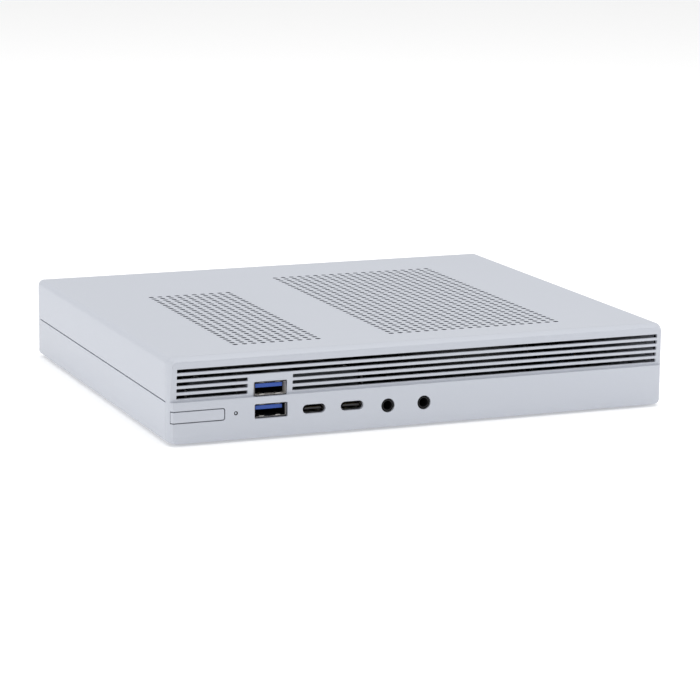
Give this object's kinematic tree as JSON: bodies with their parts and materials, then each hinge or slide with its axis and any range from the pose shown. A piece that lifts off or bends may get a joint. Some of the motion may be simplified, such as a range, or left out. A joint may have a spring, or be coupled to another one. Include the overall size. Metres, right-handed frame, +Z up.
{
  "type": "mini pc",
  "caption": "Slim desktop mini PC: vented cover that slides off forward, slotted front with sockets and a power key, and a full inside with board, cooler and drive.",
  "frame": {"origin": "bottom centre of the whole machine: on the plane under its feet, midway between its sides and between its front and back", "axes": "+Z up; the front with its sockets and power key faces -Y; +X is on the right for someone facing the front"},
  "size_m": [0.205, 0.176, 0.033],
  "materials": {
    "case_plastic": "fine satin moulding, light blue-grey",
    "sheet_steel": "zinc-plated sheet",
    "socket_shell": "nickel-plated pressed shells",
    "screw_steel": "plated screws",
    "foot_rubber": "matte black",
    "black_plastic": "black moulded plastic",
    "usb_blue": "blue moulded insulator",
    "plunger_plastic": "red moulded plastic",
    "light_pipe": "clear frosted plastic",
    "board_laminate": "solder-masked glass laminate",
    "module_laminate": "solder-masked glass laminate",
    "card_laminate": "solder-masked glass laminate",
    "heatsink_aluminium": "plain extruded fins",
    "nickel_plate": "nickel-plated metal",
    "drive_metal": "dark anodised case"
  },
  "bodies": {
    "chassis": {"blower_housing": "black_plastic", "board_screw_front_left": "screw_steel", "board_screw_front_right": "screw_steel", "board_screw_rear_left": "screw_steel", "board_screw_rear_right": "screw_steel", "bottom_chassis": "case_plastic", "coin_cell": "nickel_plate", "coin_cell_holder": "black_plastic", "cpu": "nickel_plate", "cpu_socket": "black_plastic", "dc_power_socket": "black_plastic", "displayport_socket": "socket_shell", "drive_tray": "sheet_steel", "foot_front_left": "foot_rubber", "foot_front_right": "foot_rubber", "foot_rear_left": "foot_rubber", "foot_rear_right": "foot_rubber", "front_usb_c_shell_left": "socket_shell", "front_usb_c_shell_right": "socket_shell", "front_usb_c_tongue_left": "black_plastic", "front_usb_c_tongue_right": "black_plastic", "front_usb_shell": "socket_shell", "front_usb_tongue_lower": "usb_blue", "front_usb_tongue_upper": "usb_blue", "hdmi_socket": "socket_shell", "headphone_jack": "black_plastic", "heatsink": "heatsink_aluminium", "heatsink_screw_front_left": "screw_steel", "heatsink_screw_front_right": "screw_steel", "heatsink_screw_rear_left": "screw_steel", "heatsink_screw_rear_right": "screw_steel", "lan_socket": "socket_shell", "memory_module_lower": "module_laminate", "memory_module_upper": "module_laminate", "memory_socket_lower": "black_plastic", "memory_socket_upper": "black_plastic", "microphone_jack": "black_plastic", "motherboard": "board_laminate", "power_switch": "black_plastic", "rear_panel": "sheet_steel", "rear_panel_screw_left": "screw_steel", "rear_panel_screw_right": "screw_steel", "rear_usb_inner": "socket_shell", "rear_usb_outer": "socket_shell", "ssd_card": "card_laminate", "ssd_screw": "screw_steel", "ssd_socket": "black_plastic", "storage_drive": "drive_metal", "wifi_card": "card_laminate", "wifi_screw": "screw_steel", "wifi_socket": "black_plastic"},
    "cover": {"top_cover": "case_plastic", "front_bezel": "case_plastic", "status_light_pipe": "light_pipe"},
    "power_key": {"power_button": "case_plastic"},
    "switch_plunger": {"power_switch_plunger": "plunger_plastic"},
    "fan": {"fan_impeller": "black_plastic"},
    "left_thumbscrew": {"thumbscrew_left": "screw_steel"},
    "right_thumbscrew": {"thumbscrew_right": "screw_steel"}
  },
  "joints": [
    {"name": "cover_slide", "type": "slide", "parent": "chassis", "child": "cover", "axis": [0, -1, 0], "range_m": [0, 0.19]},
    {"name": "power_button_press", "type": "slide", "parent": "cover", "child": "power_key", "axis": [0, 1, 0], "range_m": [0, 0.0004], "stiffness_N_per_m": 800},
    {"name": "switch_plunger_press", "type": "slide", "parent": "chassis", "child": "switch_plunger", "axis": [0, 1, 0], "range_m": [0, 0.0004], "stiffness_N_per_m": 400},
    {"name": "fan_spin", "type": "hinge", "parent": "chassis", "child": "fan", "pos_m": [0.031, -0.033, 0.012], "axis": [0, 0, 1], "continuous": true},
    {"name": "left_thumbscrew_turn", "type": "hinge", "parent": "chassis", "child": "left_thumbscrew", "pos_m": [-0.092, 0.0853, 0.026], "axis": [0, 1, 0], "continuous": true},
    {"name": "right_thumbscrew_turn", "type": "hinge", "parent": "chassis", "child": "right_thumbscrew", "pos_m": [0.092, 0.0853, 0.026], "axis": [0, 1, 0], "continuous": true}
  ],
  "couplings": [
    {"joint": "switch_plunger_press", "follows": "power_button_press", "ratio": 1}
  ]
}
